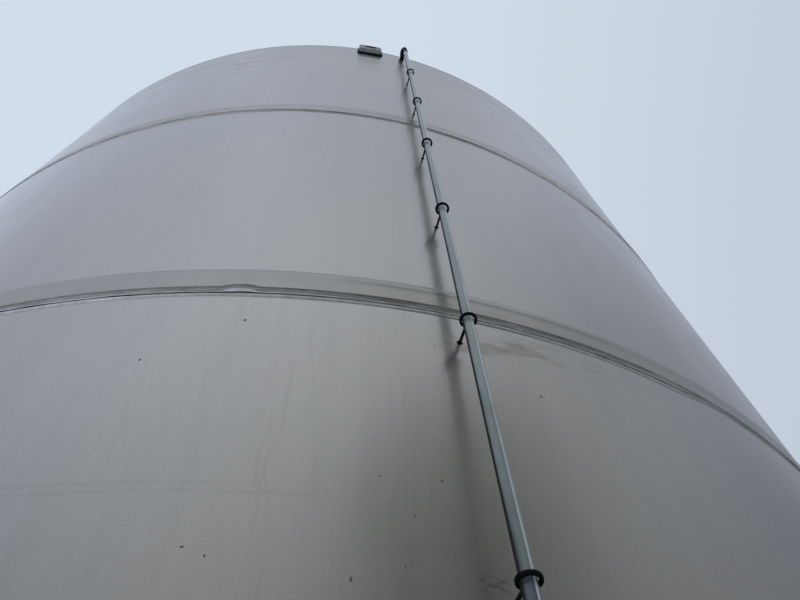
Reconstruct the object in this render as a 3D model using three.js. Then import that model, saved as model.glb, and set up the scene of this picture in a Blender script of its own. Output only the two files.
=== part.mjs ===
// Liquid fertilizer tank: a round stainless steel shell in four courses under a shallow dome,
// with a slim pipe on wall brackets and a vent cowl below the rim.
// Millimetres, +Z up. The origin is the middle of the floor at ground level, and the pipe
// is on the -Y side. Angles are in degrees round the shell, from -Y towards +X.

import * as THREE from 'three';

// Shell
const tankRadius = 5200;
const wallThickness = 6;
const floorThickness = 6;
const rimHeight = 11035;
const topJointHeight = 7795;
const coursePitch = 3328;
const seatGap = 0.3;

// Round pieces are drawn with flat facets, and a facet's middle faces -Y
const facetCount = 72;
const facetAngle = 360 / facetCount;
const segmentFacets = facetCount / 4;
const firstSegmentAngle = facetAngle * -10.5;
const segmentNames = ['front', 'right', 'back', 'left'];

// Cover bands over the joints between courses, and the taller one under the rim
const bandHeight = 186;
const bandThickness = 8;
const bandTaper = 10;
const bandEdge = 1;
const rimBandHeight = 627;
const rimBandThickness = 4;

// Roof
const roofRise = 850;
const roofThickness = 6;
const roofOverhang = 12;
const roofSteps = 6;

// Pipe and its brackets, in heights over the ground. The pipe leans slightly to the right.
const pipeRadius = 25;
const pipeStandOff = 130;
const pipeFoot = 1050;
const pipeLean = 0.0028;
const legHeight = 10868;
const bracketHeights = [1370, 2716, 4083, 5394, 6758, 8112, 9470];
const ringHole = 31;
const ringRadius = 43;
const ringHeight = 18;
const ringEdge = 4;
const ringSides = 24;
const pipeRestAngle = 38;
const rodRadius = 7.5;
const footRadius = 17;
const footThickness = 5;
const cableRadius = 4;
const elbowRadius = 30;
const elbowBend = 50;
const socketLength = 240;
const elbowSteps = 30;
const collarX = 4;
const collarRadius = 35;
const collarThickness = 10;
const endFittingRadius = 34;
const endFittingHeight = 90;
const roundSides = 16;

// Vent cowl on its black flange, on the first facet left of the pipe's, a little off its middle
const cowlAngle = -facetAngle;
const cowlShift = 2;
const cowlFoot = 10762;
const flangeWidth = 340;
const flangeHeight = 222;
const flangeDepth = 14;
const flangeCorner = 18;
const cowlWidth = 312;
const cowlHeight = 190;
const cowlDepth = 56;
const cowlCorner = 30;
const cowlInset = 12;
const cornerSteps = 4;

// Radius of the middle of a flat facet on a piece whose corners lie on the given radius
const flatRadius = (radius) => radius * Math.cos(THREE.MathUtils.degToRad(facetAngle / 2));
const pipeY = -(tankRadius + pipeStandOff);
const courseLevels = [0, topJointHeight - 2 * coursePitch, topJointHeight - coursePitch,
  topJointHeight, rimHeight];

const tank = new THREE.Group();

function finish(color, roughness, metalness = 0) {
  return new THREE.MeshStandardMaterial({ color, roughness, metalness });
}

function addMesh(name, geometry, material, parent = tank) {
  const mesh = new THREE.Mesh(geometry, material);
  mesh.name = name;
  parent.add(mesh);
  return mesh;
}

function onCircle(radius, angle) {
  const turn = THREE.MathUtils.degToRad(angle);
  return new THREE.Vector2(radius * Math.sin(turn), -radius * Math.cos(turn));
}

// A quarter of a round wall, with half the seat gap taken off each end
function wallSegment(startAngle, height) {
  const trim = THREE.MathUtils.radToDeg(seatGap / 2 / tankRadius);
  const angles = [];
  for (let i = 0; i <= segmentFacets; i += 1) {
    angles.push(startAngle + i * facetAngle);
  }
  angles[0] += trim;
  angles[segmentFacets] -= trim;
  const outer = angles.map((angle) => onCircle(tankRadius, angle));
  const inner = angles.map((angle) => onCircle(tankRadius - wallThickness, angle)).reverse();
  const outline = new THREE.Shape([...outer, ...inner]);
  return new THREE.ExtrudeGeometry(outline, { depth: height, bevelEnabled: false });
}

// A profile of [radius, height] points turned round the tank's axis
function turned(profile) {
  const points = profile.map(([radius, height]) => new THREE.Vector2(radius, height));
  const phase = THREE.MathUtils.degToRad(facetAngle / 2);
  const geometry = new THREE.LatheGeometry(points, facetCount, phase, 2 * Math.PI);
  return geometry.rotateX(Math.PI / 2);
}

// An upright round bar between two heights
function uprightBar(radius, low, high) {
  const bar = new THREE.CylinderGeometry(radius, radius, high - low, roundSides);
  return bar.rotateX(Math.PI / 2).translate(0, 0, (low + high) / 2);
}

// Floor
const floorRadius = tankRadius - wallThickness - seatGap;
const floorProfile = [[0, 0], [floorRadius, 0], [floorRadius, floorThickness], [0, floorThickness]];
addMesh('tank_floor', turned(floorProfile), finish(0xa6a8a6, 0.5, 0.9));

// Wall courses, each in four segments
for (let course = 1; course < courseLevels.length; course += 1) {
  const low = courseLevels[course - 1];
  const height = courseLevels[course] - low;
  segmentNames.forEach((side, index) => {
    const start = firstSegmentAngle + index * segmentFacets * facetAngle;
    const segment = addMesh(`wall_course_${course}_${side}`, wallSegment(start, height),
      finish(0xb4b2ae, 0.3, 0.9));
    segment.position.z = low;
  });
}

// Cover bands over the joints, tapering into the wall at their upper edges
function bandProfile(low, high, thickness, taper) {
  const back = tankRadius + seatGap;
  const face = tankRadius + thickness;
  return [[back, low], [face, low], [face, high - taper], [back + bandEdge, high], [back, high],
    [back, low]];
}

courseLevels.slice(1, -1).forEach((joint, index) => {
  const low = joint - bandHeight / 2;
  const profile = bandProfile(low, low + bandHeight, bandThickness, bandTaper);
  addMesh(`joint_band_${index + 1}`, turned(profile), finish(0xa9a59d, 0.4, 0.9));
});

const rimBandProfile = bandProfile(rimHeight - rimBandHeight, rimHeight, rimBandThickness, bandTaper / 2);
addMesh('rim_band', turned(rimBandProfile), finish(0xb0aeaa, 0.35, 0.9));

// Dome roof with a flat edge flange on the wall's top
function roofProfile() {
  const innerRadius = tankRadius - wallThickness;
  const edgeRadius = tankRadius + roofOverhang;
  const sphere = (innerRadius ** 2 + roofRise ** 2) / (2 * roofRise);
  const rise = (radius) => roofRise - sphere + Math.sqrt(sphere ** 2 - radius ** 2);
  const under = [];
  const over = [];
  for (let i = 0; i <= roofSteps; i += 1) {
    const radius = innerRadius * i / roofSteps;
    under.push([radius, rimHeight + rise(radius)]);
    over.unshift([radius, rimHeight + roofThickness + rise(radius)]);
  }
  const edge = [[edgeRadius, rimHeight], [edgeRadius, rimHeight + roofThickness]];
  return [...under, ...edge, ...over];
}

addMesh('roof_dome', turned(roofProfile()), finish(0xb4b2ae, 0.35, 0.9));

// How far to the right the pipe has leant at a height
const leanAt = (height) => pipeLean * (height - pipeFoot);

// An upright bar that leans with the pipe, its ends kept level
function leaningBar(radius, low, high) {
  const slope = new THREE.Matrix4().makeShear(0, 0, 0, 0, pipeLean, 0);
  return uprightBar(radius, low, high).applyMatrix4(slope).translate(-pipeLean * pipeFoot, 0, 0);
}

// Pipe, with a blind coupling at its foot
const socketFoot = legHeight - elbowBend - socketLength;
const pipeTop = socketFoot - seatGap;
const pipe = addMesh('upright_pipe', leaningBar(pipeRadius, pipeFoot, pipeTop), finish(0x7d868a, 0.35));
pipe.position.y = pipeY;

const endFitting = uprightBar(endFittingRadius, pipeFoot - endFittingHeight, pipeFoot - seatGap);
const pipeEnd = addMesh('pipe_end_coupling', endFitting, finish(0x2a2b2c, 0.5));
pipeEnd.position.y = pipeY;

// Elbow at the pipe's top: a long socket that bends back to a collar on the rim band
const rimFace = -flatRadius(tankRadius + rimBandThickness);
const collarFace = rimFace - seatGap - collarThickness;

function elbowGeometry() {
  const bendHeight = legHeight - elbowBend;
  const socketEnd = new THREE.Vector3(leanAt(socketFoot), pipeY, socketFoot);
  const bendStart = new THREE.Vector3(leanAt(bendHeight), pipeY, bendHeight);
  const corner = bendStart.clone().setZ(legHeight);
  const legStart = new THREE.Vector3(collarX, pipeY + elbowBend, legHeight);
  const legEnd = legStart.clone().setY(collarFace - seatGap);
  const path = new THREE.CurvePath();
  path.add(new THREE.LineCurve3(socketEnd, bendStart));
  path.add(new THREE.CubicBezierCurve3(bendStart, corner, legStart, legEnd));
  const section = new THREE.Shape().absarc(0, 0, elbowRadius, 0, 2 * Math.PI, false);
  return new THREE.ExtrudeGeometry(section, {
    steps: elbowSteps,
    curveSegments: roundSides / 2,
    extrudePath: path,
  });
}

addMesh('top_elbow', elbowGeometry(), finish(0x1d1e1f, 0.5));

const collar = new THREE.CylinderGeometry(collarRadius, collarRadius, collarThickness, roundSides);
const pipeCollar = addMesh('pipe_collar', collar, finish(0x1d1e1f, 0.5));
pipeCollar.position.set(collarX, collarFace + collarThickness / 2, legHeight);

// Cable down the pipe's left side, from the elbow to the coupling at its foot
const cableBar = leaningBar(cableRadius, pipeFoot, pipeTop);
const cable = addMesh('pipe_side_cable', cableBar, finish(0x141415, 0.5));
cable.position.set(-(pipeRadius + seatGap + cableRadius), pipeY, 0);

// Clamp rings round the pipe and its cable. The pipe lies against the inside of each ring,
// to the right and towards the wall, so the ring's middle is off to its left and front.
const ringOffset = ringHole - pipeRadius - seatGap;
const restAngle = THREE.MathUtils.degToRad(pipeRestAngle);
const ringX = -ringOffset * Math.cos(restAngle);
const ringY = pipeY - ringOffset * Math.sin(restAngle);

// A ring with its edges cut off, turned about the Z axis
function ringGeometry() {
  const half = ringHeight / 2;
  const rise = half - ringEdge;
  const profile = [[ringHole, -rise], [ringHole + ringEdge, -half], [ringRadius - ringEdge, -half],
    [ringRadius, -rise], [ringRadius, rise], [ringRadius - ringEdge, half],
    [ringHole + ringEdge, half], [ringHole, rise], [ringHole, -rise]];
  const points = profile.map(([radius, height]) => new THREE.Vector2(radius, height));
  return new THREE.LatheGeometry(points, ringSides).rotateX(Math.PI / 2);
}

// Bracket rod from the ring's back to a round foot on the wall, turned about the Y axis
function rodGeometry() {
  const rodEnd = ringY + ringRadius + seatGap;
  const wallFace = -flatRadius(tankRadius) - seatGap;
  const footFace = wallFace - footThickness;
  const profile = [[0, rodEnd], [rodRadius, rodEnd], [rodRadius, footFace],
    [footRadius, footFace], [footRadius, wallFace], [0, wallFace]];
  const points = profile.map(([radius, y]) => new THREE.Vector2(radius, y));
  return new THREE.LatheGeometry(points, roundSides);
}

bracketHeights.forEach((height, index) => {
  const x = ringX + leanAt(height);
  const ring = addMesh(`pipe_clamp_${index + 1}`, ringGeometry(), finish(0x1b1b1c, 0.55));
  ring.position.set(x, ringY, height);
  const rod = addMesh(`bracket_rod_${index + 1}`, rodGeometry(), finish(0x242526, 0.5, 0.4));
  rod.position.set(x, 0, height);
});

// Vent cowl, its flange standing on the rim band
const cowlSide = new THREE.Group();
cowlSide.rotation.z = THREE.MathUtils.degToRad(cowlAngle);
tank.add(cowlSide);
const flangeBack = rimFace - seatGap;

// A rectangle round its own centre, with its corners rounded
function roundedOutline(width, height, corner) {
  const x = width / 2 - corner;
  const y = height / 2 - corner;
  const half = Math.PI / 2;
  const outline = new THREE.Shape();
  outline.absarc(x, -y, corner, -half, 0, false);
  outline.absarc(x, y, corner, 0, half, false);
  outline.absarc(-x, y, corner, half, Math.PI, false);
  outline.absarc(-x, -y, corner, Math.PI, Math.PI + half, false);
  return outline;
}

const flangeShape = new THREE.ExtrudeGeometry(roundedOutline(flangeWidth, flangeHeight, flangeCorner), {
  depth: flangeDepth,
  bevelEnabled: false,
  curveSegments: cornerSteps,
});
const flange = addMesh('cowl_flange', flangeShape.rotateX(Math.PI / 2), finish(0x151515, 0.6), cowlSide);
flange.position.set(cowlShift, flangeBack, cowlFoot + flangeHeight / 2);

// The cowl's plan: square at the flange and rounded at its two outer corners
function cowlPlan() {
  const x = cowlWidth / 2;
  const half = Math.PI / 2;
  const plan = new THREE.Shape();
  plan.moveTo(x, 0);
  plan.lineTo(-x, 0);
  plan.absarc(-x + cowlCorner, cowlCorner - cowlDepth, cowlCorner, Math.PI, Math.PI + half, false);
  plan.absarc(x - cowlCorner, cowlCorner - cowlDepth, cowlCorner, -half, 0, false);
  return plan;
}

const cowlShape = new THREE.ExtrudeGeometry(cowlPlan(), {
  depth: cowlHeight,
  bevelEnabled: false,
  curveSegments: cornerSteps,
});
const cowl = addMesh('vent_cowl', cowlShape, finish(0xa9abac, 0.4), cowlSide);
cowl.position.set(cowlShift, flangeBack - flangeDepth - seatGap, cowlFoot + cowlInset);

export default tank;
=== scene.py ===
# Liquid fertilizer tank: a round stainless steel shell in four courses, with cover bands over its
# joints, a shallow dome, a pipe on wall brackets up its front and a vent cowl below the rim.
# Metres, +Z up, the pipe on the -Y side. Angles run round the shell from -Y towards +X.

import math

import bmesh
import bpy
from mathutils import Matrix, Vector, noise


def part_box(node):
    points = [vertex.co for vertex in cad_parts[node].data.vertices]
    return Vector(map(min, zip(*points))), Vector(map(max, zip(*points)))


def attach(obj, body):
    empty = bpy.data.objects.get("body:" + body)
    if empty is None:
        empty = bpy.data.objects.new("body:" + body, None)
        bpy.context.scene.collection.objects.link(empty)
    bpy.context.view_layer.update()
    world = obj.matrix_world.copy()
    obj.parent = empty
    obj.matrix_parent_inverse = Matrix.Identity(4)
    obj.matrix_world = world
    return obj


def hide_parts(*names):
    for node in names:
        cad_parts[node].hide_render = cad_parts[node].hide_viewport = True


BODY = "root"
SIDES = ("front", "right", "back", "left")
MM = 0.001

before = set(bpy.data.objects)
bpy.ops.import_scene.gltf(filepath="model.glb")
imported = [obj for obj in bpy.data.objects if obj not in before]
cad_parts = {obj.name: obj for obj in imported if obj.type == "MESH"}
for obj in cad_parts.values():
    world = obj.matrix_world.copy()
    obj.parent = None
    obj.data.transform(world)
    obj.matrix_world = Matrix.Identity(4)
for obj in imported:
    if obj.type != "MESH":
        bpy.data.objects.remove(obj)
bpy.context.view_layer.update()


# Sizes, read from the frame where it has them

def node_low(name):
    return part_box(name)[0]


def node_high(name):
    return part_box(name)[1]


# Half the turn of one flat facet of the CAD wall
HALF_FACET = math.radians(2.5)
RADIUS = -node_low("wall_course_1_front").y / math.cos(HALF_FACET)
COURSE_LEVELS = [node_low(f"wall_course_{n}_front").z for n in (1, 2, 3, 4)]
RIM_LEVEL = node_high("wall_course_4_front").z
JOINT_LEVELS = COURSE_LEVELS[1:]
WALL_THICKNESS = 6 * MM
BAND_HEIGHT = 186 * MM
SEAT_GAP = 0.3 * MM
CLAMP_COUNT = 7


def leaning_ends(name):
    """Both ends and the radius of an upright bar that leans to the right."""
    low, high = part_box(name)
    radius = (high.y - low.y) / 2
    middle = (low.y + high.y) / 2
    return Vector((low.x + radius, middle, low.z)), Vector((high.x - radius, middle, high.z)), radius


PIPE_FOOT, PIPE_TOP, PIPE_RADIUS = leaning_ends("upright_pipe")
CABLE_FOOT, CABLE_TOP, CABLE_RADIUS = leaning_ends("pipe_side_cable")


# Mesh helpers

def linked(name, data):
    """A new object in the scene."""
    obj = bpy.data.objects.new(name, data)
    bpy.context.scene.collection.objects.link(obj)
    return obj


def new_object(name, vertices, faces, materials, face_materials=None, smooth_angle=40):
    """A mesh object with its normals facing out, smooth except over sharp edges."""
    mesh = bpy.data.meshes.new(name)
    mesh.from_pydata(vertices, [], faces)
    for material in materials:
        mesh.materials.append(material)
    if face_materials is not None:
        mesh.polygons.foreach_set("material_index", face_materials)
    shade(mesh, smooth_angle)
    return linked(name, mesh)


def shade(mesh, smooth_angle=40):
    """Turns normals out and shades smooth, with sharp edges where faces meet above an angle."""
    work = bmesh.new()
    work.from_mesh(mesh)
    bmesh.ops.recalc_face_normals(work, faces=work.faces)
    for face in work.faces:
        face.smooth = True
    limit = math.radians(smooth_angle)
    for edge in work.edges:
        if len(edge.link_faces) == 2 and edge.calc_face_angle(0) > limit:
            edge.smooth = False
    work.to_mesh(mesh)
    work.free()


def place(obj, slot, *nodes):
    """The piece rides on the tank and stands for the nodes named; its slot is not used."""
    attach(obj, BODY)
    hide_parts(*nodes)


def turns(count):
    """Equal steps once round, in radians."""
    return [2 * math.pi * step / count for step in range(count)]


def shell_point(turn, radius, height):
    """A point at a turn from the front towards the right."""
    return Vector((radius * math.sin(turn), -radius * math.cos(turn), height))


def ring_faces(rows, count, closed=False):
    """Faces from each ring of count points to the next, and from the last to the first if closed."""
    faces = []
    for row in range(rows if closed else rows - 1):
        low = row * count
        high = (row + 1) % rows * count
        for step in range(count):
            ahead = (step + 1) % count
            faces.append((low + step, low + ahead, high + ahead, high + step))
    return faces


def turned(name, profile, segments, materials, warp=None, smooth_angle=40, row_materials=()):
    """A closed profile of (radius, height) points turned round the tank's axis."""
    vertices = []
    for index, (radius, height) in enumerate(profile):
        for turn in turns(segments):
            r, z = warp(turn, index, radius, height) if warp else (radius, height)
            vertices.append(shell_point(turn, r, z))
    faces = ring_faces(len(profile), segments, closed=True)
    face_materials = [material for material in row_materials for step in range(segments)] or None
    return new_object(name, vertices, faces, materials, face_materials, smooth_angle)


def ease(edge0, edge1, value):
    """0 before edge0, 1 after edge1, smooth between them."""
    t = min(1.0, max(0.0, (value - edge0) / (edge1 - edge0)))
    return t * t * (3 - 2 * t)


# Material graphs

class Graph:
    """Short calls that add shader nodes to a material or a world, and join them."""

    def __init__(self, owner):
        owner.use_nodes = True
        self.owner = owner
        self.tree = owner.node_tree

    def add(self, kind, inputs=(), **settings):
        node = self.tree.nodes.new(kind)
        for key, value in settings.items():
            setattr(node, key, value)
        for key, value in dict(inputs).items():
            self.feed(node.inputs[key], value)
        return node

    def feed(self, socket, value):
        if isinstance(value, bpy.types.NodeSocket):
            self.tree.links.new(value, socket)
        else:
            socket.default_value = value

    def surface(self, **sockets):
        """Feeds the material's own shader and returns the material."""
        for key, value in sockets.items():
            self.feed(self.tree.nodes["Principled BSDF"].inputs[key.replace("_", " ")], value)
        return self.owner

    def blend(self, output, factor, a, b):
        """Shows one shader or the other at the output."""
        mixed = self.add("ShaderNodeMixShader", {0: factor, 1: a, 2: b}).outputs[0]
        self.feed(self.tree.nodes[output].inputs["Surface"], mixed)

    def math(self, operation, a, b=0.0):
        return self.add("ShaderNodeMath", {0: a, 1: b}, operation=operation).outputs[0]

    def times(self, a, b):
        return self.math("MULTIPLY", a, b)

    def less(self, a, b):
        return self.math("SUBTRACT", a, b)

    def total(self, first, *others):
        for value in others:
            first = self.math("ADD", first, value)
        return first

    def most(self, first, *others):
        for value in others:
            first = self.math("MAXIMUM", first, value)
        return first

    def step(self, value, low, high, to_low=0.0, to_high=1.0):
        """Eases from to_low at low to to_high at high."""
        node = self.add("ShaderNodeMapRange", {0: value, 1: low, 2: high, 3: to_low, 4: to_high},
                        interpolation_type="SMOOTHSTEP")
        return node.outputs[0]

    def vary(self, field, middle, spread):
        """A value near middle, by up to spread to either side with a noise."""
        return self.step(field, 0.3, 0.7, middle - spread, middle + spread)

    def near(self, value, centre, half, soft):
        """1 within half of centre, easing to 0 over soft on both sides."""
        away = self.math("ABSOLUTE", self.less(value, centre))
        return self.step(away, half, half + soft, 1.0, 0.0)

    def position(self):
        return self.add("ShaderNodeTexCoord").outputs["Object"]

    def axes(self):
        """The position's x, y and z."""
        return self.add("ShaderNodeSeparateXYZ", {0: self.position()}).outputs

    def stretched(self, scale):
        node = self.add("ShaderNodeVectorMath", {0: self.position(), 1: scale}, operation="MULTIPLY")
        return node.outputs[0]

    def noise(self, scale, detail=2.0, rough=0.5, upward=1.0, at=None):
        """A noise at the position, or at a vector; its scale upwards is upward times as large."""
        vector = self.stretched((1.0, 1.0, upward)) if at is None else at
        node = self.add("ShaderNodeTexNoise", {"Vector": vector, "Scale": scale, "Detail": detail,
                                               "Roughness": rough})
        return node.outputs["Fac"]

    def along(self, vector, direction):
        """How far a vector points in a direction, from -1 to 1."""
        node = self.add("ShaderNodeVectorMath", {0: vector, 1: direction}, operation="DOT_PRODUCT")
        return node.outputs["Value"]

    def facing(self, direction):
        """How far the surface faces a direction, from -1 to 1."""
        return self.along(self.add("ShaderNodeTexCoord").outputs["Normal"], direction)

    def mix(self, factor, a, b):
        return self.add("ShaderNodeMix", {0: factor, 6: a, 7: b}, data_type="RGBA").outputs[2]

    def shaded(self, colour, *factors):
        """A colour times each of several numbers."""
        for factor in factors:
            node = self.add("ShaderNodeVectorMath", {0: colour, "Scale": factor}, operation="SCALE")
            colour = node.outputs[0]
        return colour

    def bump(self, height, strength, distance):
        node = self.add("ShaderNodeBump", {"Height": height, "Strength": strength, "Distance": distance})
        return node.outputs["Normal"]


def finish_graph(name):
    return Graph(bpy.data.materials.new(f"{name}_finish"))


def shell_graph(name):
    """A graph that also knows the height and the arc length round the shell, in metres."""
    g = finish_graph(name)
    x, y, g.height = g.axes()
    g.arc_length = g.times(g.math("ARCTAN2", x, g.times(y, -1.0)), RADIUS)
    return g


def arc(angle):
    """Arc length at an angle in degrees from the front."""
    return math.radians(angle) * RADIUS


def patch(g, upright, across, height=None):
    """1 inside a patch with soft edges.

    upright is its middle, half and softness in height, and across the same round the shell, with the
    middle in degrees and the others in metres.
    """
    angle, half, soft = across
    level = g.near(g.height if height is None else height, *upright)
    return g.times(level, g.near(g.arc_length, arc(angle), half, soft))


def rgb(red, green, blue):
    return (red, green, blue, 1.0)


def grey(level):
    return rgb(level, level, level)


# Shell finish

SHELL_COLOUR = rgb(0.535, 0.50, 0.465)
SHELL_WARM = rgb(0.545, 0.50, 0.445)
SHELL_COOL = rgb(0.515, 0.495, 0.475)
DIRT = rgb(0.10, 0.095, 0.085)
BROWN = rgb(0.38, 0.325, 0.255)
SHELL_METALLIC = 0.95
SHELL_ROUGHNESS = 0.26
SHELL_IOR = 1.5
EDGE_TINT = grey(0.97)

# Specks on the wall, listed one by one: angle, height, half width and half height in metres
SPECKS = (
    (-11.24, 4.08, 0.008, 0.011), (-15.54, 3.78, 0.006, 0.009), (-11.04, 2.85, 0.007, 0.005),
    (-10.24, 2.82, 0.004, 0.006), (-5.44, 2.76, 0.005, 0.011), (-3.60, 2.818, 0.003, 0.009),
    (-3.36, 2.838, 0.003, 0.004), (-3.14, 3.01, 0.004, 0.006), (-1.94, 3.18, 0.005, 0.007),
    (3.96, 3.79, 0.007, 0.010), (-4.44, 3.17, 0.004, 0.006), (8.56, 4.33, 0.010, 0.008),
)

# Bundles of thin runs: middle angle, half width in degrees, top height, strength
RUN_BUNDLES = (
    (-8.1, 1.9, 4.30, 1.0), (-3.1, 1.1, 4.30, 0.8), (-14.5, 3.0, 7.6, 0.4),
    (-26.0, 7.0, 7.6, 0.45), (-14.0, 5.0, 10.9, 0.5), (2.5, 2.0, 7.6, 0.4),
)
RUN_WIDTH = 0.020

# Long scratches: start and end, each an angle and a height, with the strength
STROKES = (
    ((-12.14, 9.47), (-12.5, 8.76), 0.7), ((-9.74, 9.47), (-10.0, 8.80), 0.6),
    ((-14.24, 8.70), (-14.4, 8.27), 0.6), ((-12.24, 8.70), (-12.1, 8.30), 0.5),
    ((2.3, 6.42), (4.6, 6.47), 0.5), ((2.6, 6.92), (4.4, 6.98), 0.4), ((2.9, 6.15), (4.8, 6.12), 0.4),
)
STROKE_HALF = 9 * MM

# Soft-edged patches: middle height, half and softness, then middle angle, half and softness in metres
SMEAR = ((4.07, 0.04, 0.10), (7.0, 0.45, 0.40))
SMEAR_SLOPE = 0.17
UNDER_RIM = ((9.95, 0.35, 0.3), (-20.5, 0.3, 0.3))
LEDGES = (((3.10, 0.002, 0.012), (-15.5, 0.5, 0.25)), ((3.065, 0.002, 0.012), (-14.0, 0.55, 0.25)))
SMUDGE = ((2.785, 0.010, 0.030), (-0.4, 0.03, 0.05))


def run_lines(g):
    """Thin wavy upright runs: the contour lines of a tall narrow noise."""
    sway = g.noise(1.0, at=g.stretched((0.9, 0.9, 1.7)))
    drawn = g.add("ShaderNodeCombineXYZ", {0: g.total(g.arc_length, g.times(sway, 0.25)),
                                           2: g.times(g.height, 0.035)}).outputs[0]
    return g.near(g.noise(9.0, 3.0, 0.6, at=drawn), 0.5, 0.0, RUN_WIDTH)


def stroke(g, start, end):
    """1 along a thin line from start to end, each an angle and a height."""
    across, up = arc(end[0]) - arc(start[0]), end[1] - start[1]
    length = math.hypot(across, up)
    from_start = g.less(g.arc_length, arc(start[0]))
    over_start = g.less(g.height, start[1])
    along = g.total(g.times(from_start, across / length), g.times(over_start, up / length))
    aside = g.less(g.times(from_start, up / length), g.times(over_start, across / length))
    line = g.near(aside, 0.0, STROKE_HALF * 0.3, STROKE_HALF * 0.7)
    return g.times(line, g.near(along, length / 2, length * 0.4, length * 0.15))


def run_marks(g):
    """Thin water runs, strongest in a few bundles."""
    bundles = [g.times(g.near(g.arc_length, arc(middle), arc(half) * 0.4, arc(half) * 0.7),
                       g.step(g.height, top - 0.5, top, strength, 0.0))
               for middle, half, top, strength in RUN_BUNDLES]
    patches = g.step(g.noise(1.6, upward=0.5), 0.45, 0.65)
    return g.times(run_lines(g), g.most(*bundles, g.times(patches, 0.1)))


def speck_marks(g):
    """The listed specks, and a thin scatter of tiny ones."""
    specks = []
    for angle, level, half_width, half_height in SPECKS:
        across = g.math("DIVIDE", g.less(g.arc_length, arc(angle)), half_width)
        up = g.math("DIVIDE", g.less(g.height, level), half_height)
        distance = g.math("SQRT", g.total(g.times(across, across), g.times(up, up)))
        specks.append(g.step(distance, 0.55, 1.15, 1.0, 0.0))
    scatter = g.add("ShaderNodeTexVoronoi", {"Vector": g.position(), "Scale": 3.4, "Randomness": 1.0})
    some = g.step(g.noise(1.3, 1.0), 0.4, 0.6)
    tiny = g.times(g.step(scatter.outputs["Distance"], 0.010, 0.020, 0.55, 0.0), some)
    return g.most(*specks), tiny


def stain_marks(g):
    """Brown smears under the second joint and pale brown patches under the rim."""
    blots = g.noise(2.6, 4.0, 0.65, 3.5)
    lowered = g.less(g.height, g.times(g.arc_length, SMEAR_SLOPE))
    smears = g.times(patch(g, *SMEAR, lowered), 2.0)
    return g.times(g.step(blots, 0.44, 0.68), g.most(smears, patch(g, *UNDER_RIM)))


def steel_surface(g, colour, rough, relief):
    return g.surface(Base_Color=colour, Metallic=SHELL_METALLIC, Roughness=rough, IOR=SHELL_IOR,
                     Specular_Tint=EDGE_TINT, Normal=g.bump(relief, 0.35, 0.0006))


def shell_material():
    """Dull cold-rolled sheet with faint clouds, runs, scratches, smears and specks."""
    g = shell_graph("shell_steel")
    cloud = g.noise(0.55, 3.0, 0.55)
    blotch = g.noise(2.3, 4.0, 0.6, 0.45)
    fine = g.noise(7.0, 4.0, 0.65, 0.03)
    grain = g.noise(170.0, 3.0, 0.7, 0.6)
    placed, tiny = speck_marks(g)
    specks = g.most(placed, tiny)
    stains = stain_marks(g)
    scratches = g.most(*(g.times(stroke(g, start, end), strength) for start, end, strength in STROKES))
    ledges = g.most(*(patch(g, *ledge) for ledge in LEDGES))
    smudge = g.times(patch(g, *SMUDGE), g.step(g.noise(22.0, 3.0, upward=2.5), 0.48, 0.62))

    tone = g.total(g.step(blotch, 0.25, 0.75, 0.97, 1.03), g.vary(fine, 0.0, 0.02),
                   g.vary(grain, 0.0, 0.05))
    marks = g.total(g.times(run_marks(g), 0.07), g.times(scratches, 0.14))
    colour = g.mix(g.step(cloud, 0.35, 0.68), SHELL_WARM, SHELL_COOL)
    colour = g.shaded(g.mix(0.6, colour, SHELL_COLOUR), g.less(tone, marks))
    soiled = ((stains, 0.22, BROWN), (ledges, 0.07, DIRT), (smudge, 0.45, DIRT), (specks, 0.75, DIRT))
    for mark, share, tint in soiled:
        colour = g.mix(g.times(mark, share), colour, tint)

    rough = g.total(g.vary(blotch, SHELL_ROUGHNESS, 0.03), g.times(stains, 0.12), g.times(specks, 0.3),
                    g.step(g.height, 2.0, 4.2, 0.10, 0.0))
    relief = g.total(g.times(g.noise(55.0), 0.12), g.times(placed, 1.5), g.times(g.noise(7.0), 0.6))
    return steel_surface(g, colour, rough, relief)


# Band finishes

# Painted shade: black stretches of the second joint's dark line that stand for deep voids; angle and half
# width in degrees
VOID_SHADE_SPOTS = ((-24.2, 1.5), (-18.6, 0.9), (9.5, 0.5))
VOID_SHADE_LEVEL = (4.32, 0.05, 0.05)

# Heights between the second and the third joint, where the look of one gives way to the other's
BETWEEN_UPPER_JOINTS = (5.5, 7.0)


def from_joint(g):
    """Height over the middle of the nearest joint band."""
    pitch = JOINT_LEVELS[1] - JOINT_LEVELS[0]
    first = JOINT_LEVELS[0] - pitch / 2
    return g.less(g.math("MODULO", g.less(g.height, first), pitch), pitch / 2)


def at_highest(g, there, below=1.0):
    """One value at the highest joint, and another at those below it."""
    return g.step(g.height, *BETWEEN_UPPER_JOINTS, below, there)


def faded(g, most):
    """1, rising to most where the highest joint's lines fade, to the pipe's right."""
    right = g.step(g.arc_length, arc(5.0), arc(18.0), 0.0, most - 1)
    return g.total(1.0, g.times(right, at_highest(g, 1.0, 0.0)))


def band_lines(g):
    """Dark lines along a joint band, fainter at the highest joint."""
    above = from_joint(g)
    wavy = g.less(above, g.times(g.less(g.noise(2.2), 0.5), 0.012))
    edge = g.near(wavy, 0.070, 0.003, 0.006)
    second = g.times(g.near(wavy, 0.048, 0.002, 0.008), g.step(g.noise(0.9, 1.0), 0.5, 0.6))
    dull = g.times(g.near(above, 0.015, 0.008, 0.030), g.step(g.arc_length, arc(-9.0), arc(-3.0), 0.2, 1.0))
    crease = g.times(g.near(wavy, 0.027, 0.004, 0.014), g.near(g.arc_length, arc(3.0), arc(6.0), arc(5.0)))
    marks = g.total(g.times(edge, 0.10), g.times(second, 0.08), g.times(dull, 0.09), g.times(crease, 0.23))
    return g.times(marks, at_highest(g, 0.45))


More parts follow.
